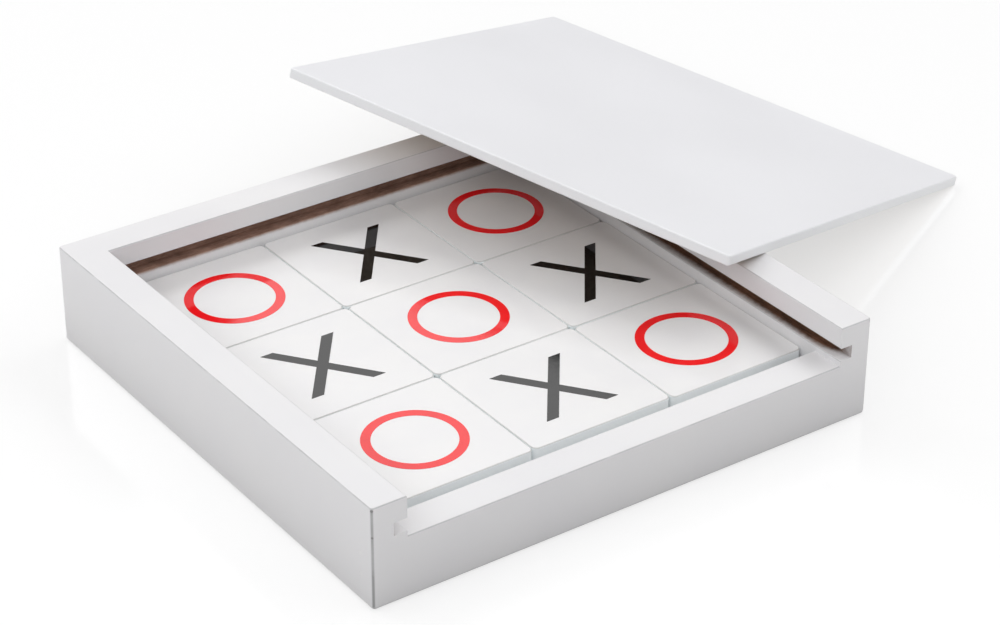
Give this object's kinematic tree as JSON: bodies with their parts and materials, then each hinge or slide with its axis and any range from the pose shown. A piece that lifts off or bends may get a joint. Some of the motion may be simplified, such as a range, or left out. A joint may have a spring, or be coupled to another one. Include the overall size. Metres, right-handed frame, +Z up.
{
  "type": "tic-tac-toe game",
  "caption": "Flat open box with a grid of square tiles marked with rings and crosses, a lid groove round the inside, a low front wall, and a thin panel lid leant on one side.",
  "frame": {"origin": "centre of the box's underside, on the surface it stands on", "axes": "+X to the right along the low front wall, +Y from the low front wall to the back wall, +Z up"},
  "size_m": [0.2729, 0.2313, 0.0514],
  "materials": {
    "box_lacquer": "satin white lacquer on fibreboard; the lid groove is left bare and brown",
    "lid_lacquer": "satin white lacquer on thin fibreboard",
    "tile_lacquer": "semi-gloss white lacquer on fibreboard",
    "red_ink": "screen-printed red ink under a clear coat",
    "black_ink": "screen-printed black ink under a clear coat",
    "brad_steel": "plain steel, painted over where it meets the outside"
  },
  "bodies": {
    "box": {"left_wall": "box_lacquer", "right_wall": "box_lacquer", "back_wall": "box_lacquer", "front_wall": "box_lacquer", "base_panel": "box_lacquer", "corner_brads": "brad_steel", "base_brads": "brad_steel"},
    "lid_panel": {"lid": "lid_lacquer"},
    "front_left_piece": {"tile_front_left": "tile_lacquer", "ring_front_left": "red_ink"},
    "front_middle_piece": {"tile_front_middle": "tile_lacquer", "cross_front_middle": "black_ink"},
    "front_right_piece": {"tile_front_right": "tile_lacquer", "ring_front_right": "red_ink"},
    "middle_left_piece": {"tile_middle_left": "tile_lacquer", "cross_middle_left": "black_ink"},
    "centre_piece": {"tile_centre": "tile_lacquer", "ring_centre": "red_ink"},
    "middle_right_piece": {"tile_middle_right": "tile_lacquer", "cross_middle_right": "black_ink"},
    "back_left_piece": {"tile_back_left": "tile_lacquer", "ring_back_left": "red_ink"},
    "back_middle_piece": {"tile_back_middle": "tile_lacquer", "cross_back_middle": "black_ink"},
    "back_right_piece": {"tile_back_right": "tile_lacquer", "ring_back_right": "red_ink"}
  },
  "joints": [
    {"name": "lid_lift", "type": "slide", "parent": "box", "child": "lid_panel", "axis": [0, 0, 1], "range_m": [0, 0.08]},
    {"name": "front_left_lift", "type": "slide", "parent": "box", "child": "front_left_piece", "axis": [0, 0, 1], "range_m": [0, 0.04]},
    {"name": "front_middle_lift", "type": "slide", "parent": "box", "child": "front_middle_piece", "axis": [0, 0, 1], "range_m": [0, 0.04]},
    {"name": "front_right_lift", "type": "slide", "parent": "box", "child": "front_right_piece", "axis": [0, 0, 1], "range_m": [0, 0.012]},
    {"name": "middle_left_lift", "type": "slide", "parent": "box", "child": "middle_left_piece", "axis": [0, 0, 1], "range_m": [0, 0.04]},
    {"name": "centre_lift", "type": "slide", "parent": "box", "child": "centre_piece", "axis": [0, 0, 1], "range_m": [0, 0.04]},
    {"name": "middle_right_lift", "type": "slide", "parent": "box", "child": "middle_right_piece", "axis": [0, 0, 1], "range_m": [0, 0.012]},
    {"name": "back_left_lift", "type": "slide", "parent": "box", "child": "back_left_piece", "axis": [0, 0, 1], "range_m": [0, 0.04]},
    {"name": "back_middle_lift", "type": "slide", "parent": "box", "child": "back_middle_piece", "axis": [0, 0, 1], "range_m": [0, 0.022]},
    {"name": "back_right_lift", "type": "slide", "parent": "box", "child": "back_right_piece", "axis": [0, 0, 1], "range_m": [0, 0.012]}
  ]
}
